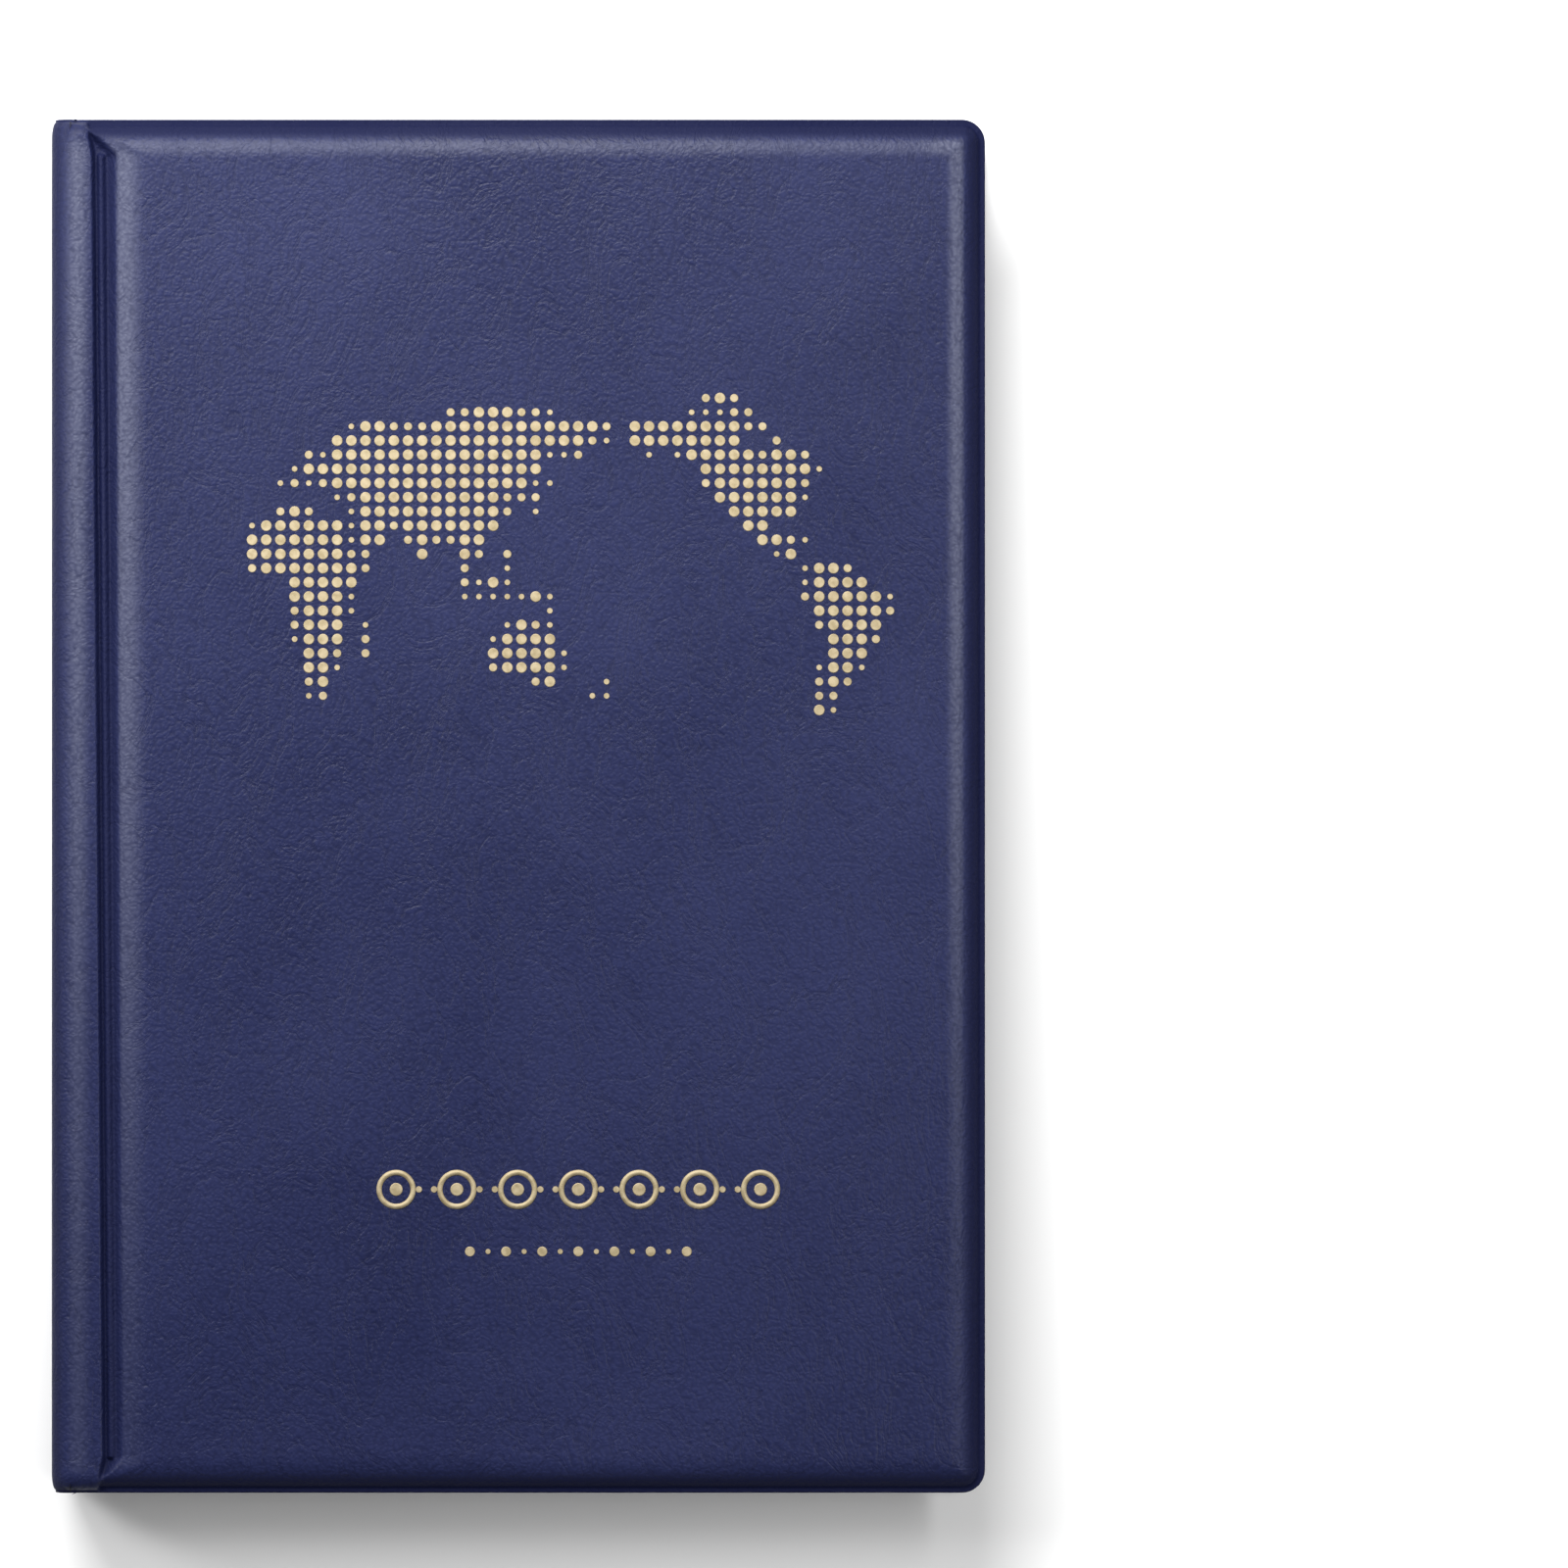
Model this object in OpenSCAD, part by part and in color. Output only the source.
// Pocket coin album that lies closed on its back cover.
// X runs from the spine to the fore edge, Y up the page and Z up through the leaves.
// Leaves are numbered from the front cover. Recto is a leaf's front page, verso its back page.

/* [Album] */
// Width of the closed album, spine to fore edge
album_w = 160; // [150:1:175]
// Height of the album along the spine
album_h = 235; // [234:1:260]
// Thickness of one padded cover
cover_t = 3.6; // [3.4:0.1:4.5]
// Radius of the covers' fore-edge corners
corner_r = 4; // [2:0.5:8]
// Width of the welded rim around each cover's board
weld_rim_w = 3; // [2:0.5:5]
// Width of the spine's shoulder and the bending groove beside it, where a cover has no board
groove_reach = 13.5; // [13:0.5:16]

/* [Cover layers] */
// Thickness of the black lining
lining_t = 0.4; // [0.3:0.05:0.6]
// Thickness of the greyboard
board_t = 1.6; // [1:0.1:2]
// Thickness of the foam under the outer vinyl
foam_t = 1; // [0.5:0.1:1.4]

/* [Leaves] */
// Height of a leaf
leaf_h = 226; // [226:0.5:230]
// Thickness of the dark sheet in the middle of a leaf
sheet_t = 0.25; // [0.2:0.05:0.4]
// Distance from the fore edge to a leaf's edge
leaf_setback = 7.8; // [6:0.2:10]
// Distance from the hinge line to the leaves' bound edge
leaf_bind_gap = 3.8; // [3.6:0.1:4.4]
// Height of the film over a pocket with no coin
flat_pocket_d = 0.5; // [0.4:0.05:0.6]
// Height of the film over a small coin
small_pocket_d = 2.2; // [2:0.05:2.4]
// Height of the film over a large coin
large_pocket_d = 3; // [2.8:0.05:3.2]

/* [Pockets] */
// Width of the welded pocket field on a page
field_w = 142.8; // [140:0.2:143]
// Height of the welded pocket field on a page
field_h = 224; // [220:0.5:224]
// Thickness of the clear film
film_t = 0.15; // [0.1:0.01:0.2]
// Width of a weld line between pockets
weld_w = 1.6; // [1:0.1:2.4]
// Height of the open mouth at the top of a pocket
mouth_h = 4.4; // [3:0.2:6]
// Thickness of a closing flap
flap_t = 0.1; // [0.05:0.01:0.12]
// How far a flap reaches down from its pocket's top
flap_reach = 12; // [9:0.5:14]

/* [Coins] */
// Diameter of a large coin
large_coin_d = 38.1; // [30:0.1:40]
// Thickness of a large coin
large_coin_t = 2.4; // [1.8:0.1:2.6]
// Diameter of a small coin
small_coin_d = 24.3; // [18:0.1:26]
// Thickness of a small coin
small_coin_t = 1.75; // [1.2:0.05:1.8]

/* [Hidden] */
$fn = 64;
LEAVES = [1, 2, 3, 4, 5, 6, 7];

fore_x = album_w / 2;
spine_x = -album_w / 2;
bead_r = cover_t / 2;          // the spine's rounded ends, one at each hinge line
hinge_x = spine_x + bead_r;
hinge_gap = 0.15;              // between a bead and the cover beside it
cover_x = hinge_x + bead_r + hinge_gap;
panel_x = spine_x + groove_reach;
inner_corner_r = 1;

cover_gap = 0.3;               // between a cover and the leaf beside it
leaf_gap = 0.2;                // between two leaves
leaf_x0 = hinge_x + leaf_bind_gap;
leaf_x1 = fore_x - leaf_setback;
leaf_corner_r = 3;
field_x1 = leaf_x1 - 1.2;
field_x0 = field_x1 - field_w;

// Film heights by leaf, from the first leaf to the last
recto_d = [flat_pocket_d, flat_pocket_d, small_pocket_d, flat_pocket_d, flat_pocket_d, flat_pocket_d, flat_pocket_d];
verso_d = [flat_pocket_d, large_pocket_d, flat_pocket_d, flat_pocket_d, flat_pocket_d, flat_pocket_d, flat_pocket_d];
LARGE = [3, 5];                // pockets across and up a page for large coins
SMALL = [4, 7];                // and for small coins
large_leaves = 2;              // the first leaves hold large coins

// Height of the underside of leaf k's sheet, adding up the leaves below it
function leaf_t(k) = verso_d[k - 1] + sheet_t + recto_d[k - 1];
function leaf_bottom(k) = k == 7 ? cover_t + cover_gap : leaf_bottom(k + 1) + leaf_t(k + 1) + leaf_gap;
function sheet_z(k) = leaf_bottom(k) + verso_d[k - 1];
function grid(k) = k <= large_leaves ? LARGE : SMALL;

front_z = leaf_bottom(1) + leaf_t(1) + cover_gap;
album_t = front_z + cover_t;
hinge_low_z = bead_r;
hinge_high_z = album_t - bead_r;

// ---- outlines ----

// Rectangle from x0 to x1 with round corners on its fore edge
module fore_outline(x0, x1, half_h, r) {
  translate([x0, -half_h]) square([x1 - x0 - r, 2 * half_h]);
  translate([x1 - r - 0.01, -half_h + r]) square([r + 0.01, 2 * half_h - 2 * r]);
  for (side = [-1, 1]) translate([x1 - r, side * (half_h - r)]) circle(r);
}

// ---- covers, drawn with the lining's inner face at z = 0 and the outer face up ----

module cover_lining() {
  linear_extrude(lining_t) fore_outline(cover_x, fore_x, album_h / 2, corner_r);
}

module cover_board() {
  translate([0, 0, lining_t])
    linear_extrude(board_t)
      fore_outline(panel_x, fore_x - weld_rim_w, album_h / 2 - weld_rim_w, inner_corner_r);
}

module cover_foam() {
  translate([0, 0, lining_t + board_t])
    linear_extrude(foam_t)
      fore_outline(panel_x, fore_x - weld_rim_w, album_h / 2 - weld_rim_w, inner_corner_r);
}

// Outer skin: a shallow tray that drops over the foam and board and is welded to the lining's rim
module cover_vinyl() {
  difference() {
    translate([0, 0, lining_t])
      linear_extrude(cover_t - lining_t) fore_outline(cover_x, fore_x, album_h / 2, corner_r);
    translate([0, 0, lining_t - 1])
      linear_extrude(board_t + foam_t + 1)
        fore_outline(panel_x, fore_x - weld_rim_w, album_h / 2 - weld_rim_w, inner_corner_r);
  }
}

module on_front() {
  translate([0, 0, front_z]) children();
}

module on_back() {
  translate([0, 0, cover_t]) mirror([0, 0, 1]) children();
}

// ---- spine ----

module along_spine(length) {
  translate([0, length / 2, 0]) rotate([90, 0, 0]) linear_extrude(length) children();
}

module spine_lining() {
  color("#2b2c30")
    along_spine(album_h - 2 * weld_rim_w)
      translate([hinge_x + bead_r - lining_t, hinge_low_z + bead_r])
        square([lining_t, album_t - 2 * cover_t]);
}

module spine_board() {
  color("#8f7d60")
    along_spine(album_h - 2 * weld_rim_w)
      translate([hinge_x + bead_r - lining_t - board_t, hinge_low_z + bead_r])
        square([board_t, album_t - 2 * cover_t]);
}

module spine_outer_vinyl() {
  color("#2a2f5c")
    difference() {
      along_spine(album_h) {
        translate([spine_x, hinge_low_z]) square([cover_t, hinge_high_z - hinge_low_z]);
        for (z = [hinge_low_z, hinge_high_z]) translate([hinge_x, z]) circle(bead_r);
      }
      along_spine(album_h - 2 * weld_rim_w)
        translate([hinge_x + bead_r - lining_t - board_t, hinge_low_z + bead_r])
          square([lining_t + board_t + 1, album_t - 2 * cover_t]);
    }
}

// ---- leaves ----

module leaf_sheet(k) {
  color("#232427")
    translate([0, 0, sheet_z(k)])
      linear_extrude(sheet_t) fore_outline(leaf_x0, leaf_x1, leaf_h / 2, leaf_corner_r);
}

// Folded strip that grips the sheet's bound edge and ties it to the spine
module binding_strip(k) {
  strip_t = 0.12;
  grip = field_x0 - leaf_x0 - weld_w;
  color("#2b2c30")
    difference() {
      translate([leaf_x0 - strip_t, -leaf_h / 2, sheet_z(k) - strip_t])
        cube([grip + strip_t, leaf_h, sheet_t + 2 * strip_t]);
      translate([leaf_x0, -leaf_h / 2 - 1, sheet_z(k)])
        cube([grip + 1, leaf_h + 2, sheet_t]);
    }
}

// Places its children at the middle of each pocket of a page
module in_each_pocket(pockets) {
  step = [field_w / pockets.x, field_h / pockets.y];
  for (column = [0 : pockets.x - 1], row = [0 : pockets.y - 1])
    translate([field_x0 + step.x * (column + 0.5), -field_h / 2 + step.y * (row + 0.5), 0])
      children();
}

// Clear film with welds all round each pocket, drawn upward from the sheet's face
module pocket_film(pockets, depth) {
  hollow_w = field_w / pockets.x - weld_w;
  hollow_h = field_h / pockets.y - weld_w;
  color([0.9, 0.93, 0.95, 0.35])
    difference() {
      translate([field_x0 - weld_w / 2, -field_h / 2 - weld_w / 2, 0])
        cube([field_w + weld_w, field_h + weld_w, depth]);
      in_each_pocket(pockets) {
        translate([-hollow_w / 2, -hollow_h / 2, -1]) cube([hollow_w, hollow_h, depth - film_t + 1]);
        translate([-hollow_w / 2, hollow_h / 2 - mouth_h, -1]) cube([hollow_w, mouth_h, depth + 2]);
      }
    }
}

function arc(centre, r, from, to) =
  [for (i = [0 : 6]) centre + r * [cos(from + (to - from) * i / 6), sin(from + (to - from) * i / 6)]];

// Flap with slanted sides and round lower corners, hanging from y = 0
module flap_outline(top_w, reach) {
  lower_w = top_w * 0.72;
  r = reach * 0.3;
  right = arc([lower_w / 2 - r * 0.6, r - reach], r, 0, -90);
  left = arc([r * 0.6 - lower_w / 2, r - reach], r, -90, -180);
  polygon(concat([[-top_w / 2, 0], [top_w / 2, 0]], right, left));
}

module pocket_flaps(pockets, depth) {
  hollow = [field_w / pockets.x - weld_w, field_h / pockets.y - weld_w];
  slack = 0.04;
  color([0.95, 0.97, 0.98, 0.5])
    in_each_pocket(pockets)
      translate([0, hollow.y / 2, depth - film_t - slack - flap_t])
        linear_extrude(flap_t) flap_outline(hollow.x * 0.9, flap_reach);
}

module on_recto(k) {
  translate([0, 0, sheet_z(k) + sheet_t]) children();
}

module on_verso(k) {
  translate([0, 0, sheet_z(k)]) mirror([0, 0, 1]) children();
}

module leaf_part(k, part) {
  if (part == "sheet") leaf_sheet(k);
  if (part == "binding_strip") binding_strip(k);
  if (part == "recto_pockets") on_recto(k) pocket_film(grid(k), recto_d[k - 1]);
  if (part == "verso_pockets") on_verso(k) pocket_film(grid(k), verso_d[k - 1]);
  if (part == "recto_flaps") on_recto(k) pocket_flaps(grid(k), recto_d[k - 1]);
  if (part == "verso_flaps") on_verso(k) pocket_flaps(grid(k), verso_d[k - 1]);
}

// ---- coins ----

// Disc with a raised rim on both faces, standing on z = 0
module coin(d, t) {
  rim_w = d * 0.035;
  rim_h = 0.15;
  rotate_extrude()
    polygon([
      [0, rim_h], [d / 2 - rim_w, rim_h], [d / 2 - rim_w, 0], [d / 2, 0],
      [d / 2, t], [d / 2 - rim_w, t], [d / 2 - rim_w, t - rim_h], [0, t - rim_h]
    ]);
}

coin_drop = 1;                 // a coin rests this far below its pocket's middle

module large_coins() {
  color("#a9aaac")
    on_verso(2) in_each_pocket(LARGE) translate([0, -coin_drop, 0]) coin(large_coin_d, large_coin_t);
}

module small_coins() {
  color("#8f9193")
    on_recto(3) in_each_pocket(SMALL) translate([0, -coin_drop, 0]) coin(small_coin_d, small_coin_t);
}

module front_outer_vinyl() { color("#2a2f5c") on_front() cover_vinyl(); }
module front_foam_pad() { color("#e6e2d3") on_front() cover_foam(); }
module front_board() { color("#8f7d60") on_front() cover_board(); }
module front_lining() { color("#2b2c30") on_front() cover_lining(); }
module back_outer_vinyl() { color("#2a2f5c") on_back() cover_vinyl(); }
module back_foam_pad() { color("#e6e2d3") on_back() cover_foam(); }
module back_board() { color("#8f7d60") on_back() cover_board(); }
module back_lining() { color("#2b2c30") on_back() cover_lining(); }

front_outer_vinyl();
front_foam_pad();
front_board();
front_lining();
back_outer_vinyl();
back_foam_pad();
back_board();
back_lining();
spine_outer_vinyl();
spine_board();
spine_lining();
for (k = LEAVES) {
  leaf = str("leaf_", k, "_");
  leaf_part(k, "sheet");
  leaf_part(k, "recto_pockets");
  leaf_part(k, "recto_flaps");
  leaf_part(k, "verso_pockets");
  leaf_part(k, "verso_flaps");
  leaf_part(k, "binding_strip");
}
large_coins();
small_coins();
